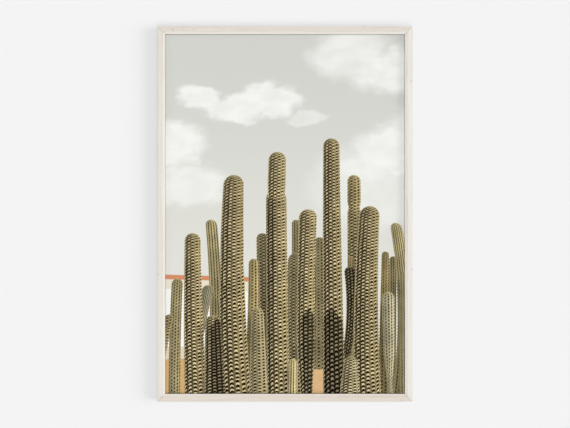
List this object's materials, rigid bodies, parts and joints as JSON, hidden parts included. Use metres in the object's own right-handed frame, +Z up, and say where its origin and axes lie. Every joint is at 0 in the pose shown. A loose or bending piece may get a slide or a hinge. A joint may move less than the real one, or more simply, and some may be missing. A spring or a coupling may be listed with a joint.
{
  "type": "framed art print",
  "caption": "Slim limed-wood picture frame in portrait format with clear glazing, an art print of columnar cacti, a hardboard back held by turn buttons, and a sawtooth hanger.",
  "frame": {"origin": "centre of the sawtooth hanger's raised back face, where the frame rests on the wall", "axes": "+X right and +Z up as seen from the front, +Y back into the wall; the picture faces -Y"},
  "size_m": [0.638, 0.026, 0.938],
  "materials": {
    "limed_wood": "satin",
    "acrylic": "gloss",
    "art_print": "matte",
    "foam_board": "matte",
    "hardboard": "matte",
    "zinc_plate": "satin",
    "screw_zinc": "satin",
    "nail_steel": "satin",
    "felt": "matte"
  },
  "bodies": {
    "frame": {"rail_top": "limed_wood", "rail_bottom": "limed_wood", "rail_left": "limed_wood", "rail_right": "limed_wood", "glazing": "acrylic", "print": "art_print", "foam_board": "foam_board", "backing_board": "hardboard", "sawtooth_hanger": "zinc_plate", "hanger_nail_1": "nail_steel", "hanger_nail_2": "nail_steel", "v_nail_bottom": "nail_steel", "button_screw_bottom_1": "screw_zinc", "button_screw_bottom_2": "screw_zinc", "bumper_bottom_1": "felt", "bumper_bottom_2": "felt", "v_nail_left": "nail_steel", "button_screw_left_1": "screw_zinc", "button_screw_left_2": "screw_zinc", "v_nail_top": "nail_steel", "button_screw_top_1": "screw_zinc", "button_screw_top_2": "screw_zinc", "bumper_top_1": "felt", "bumper_top_2": "felt", "v_nail_right": "nail_steel", "button_screw_right_1": "screw_zinc", "button_screw_right_2": "screw_zinc"},
    "turn_button_bottom_1": {"turn_button_bottom_1": "zinc_plate"},
    "turn_button_bottom_2": {"turn_button_bottom_2": "zinc_plate"},
    "turn_button_left_1": {"turn_button_left_1": "zinc_plate"},
    "turn_button_left_2": {"turn_button_left_2": "zinc_plate"},
    "turn_button_top_1": {"turn_button_top_1": "zinc_plate"},
    "turn_button_top_2": {"turn_button_top_2": "zinc_plate"},
    "turn_button_right_1": {"turn_button_right_1": "zinc_plate"},
    "turn_button_right_2": {"turn_button_right_2": "zinc_plate"}
  },
  "joints": [
    {"name": "pivot_bottom_1", "type": "hinge", "parent": "frame", "child": "turn_button_bottom_1", "pos_m": [-0.18, -0.0031, -0.925], "axis": [0, 1, 0], "range_deg": [-90, 90]},
    {"name": "pivot_bottom_2", "type": "hinge", "parent": "frame", "child": "turn_button_bottom_2", "pos_m": [0.18, -0.0031, -0.925], "axis": [0, 1, 0], "range_deg": [-90, 90]},
    {"name": "pivot_left_1", "type": "hinge", "parent": "frame", "child": "turn_button_left_1", "pos_m": [-0.3125, -0.0031, -0.2125], "axis": [0, 1, 0], "range_deg": [-90, 90]},
    {"name": "pivot_left_2", "type": "hinge", "parent": "frame", "child": "turn_button_left_2", "pos_m": [-0.3125, -0.0031, -0.7125], "axis": [0, 1, 0], "range_deg": [-90, 90]},
    {"name": "pivot_top_1", "type": "hinge", "parent": "frame", "child": "turn_button_top_1", "pos_m": [0.18, -0.0031, 0], "axis": [0, 1, 0], "range_deg": [-90, 90]},
    {"name": "pivot_top_2", "type": "hinge", "parent": "frame", "child": "turn_button_top_2", "pos_m": [-0.18, -0.0031, 0], "axis": [0, 1, 0], "range_deg": [-90, 90]},
    {"name": "pivot_right_1", "type": "hinge", "parent": "frame", "child": "turn_button_right_1", "pos_m": [0.3125, -0.0031, -0.7125], "axis": [0, 1, 0], "range_deg": [-90, 90]},
    {"name": "pivot_right_2", "type": "hinge", "parent": "frame", "child": "turn_button_right_2", "pos_m": [0.3125, -0.0031, -0.2125], "axis": [0, 1, 0], "range_deg": [-90, 90]}
  ]
}
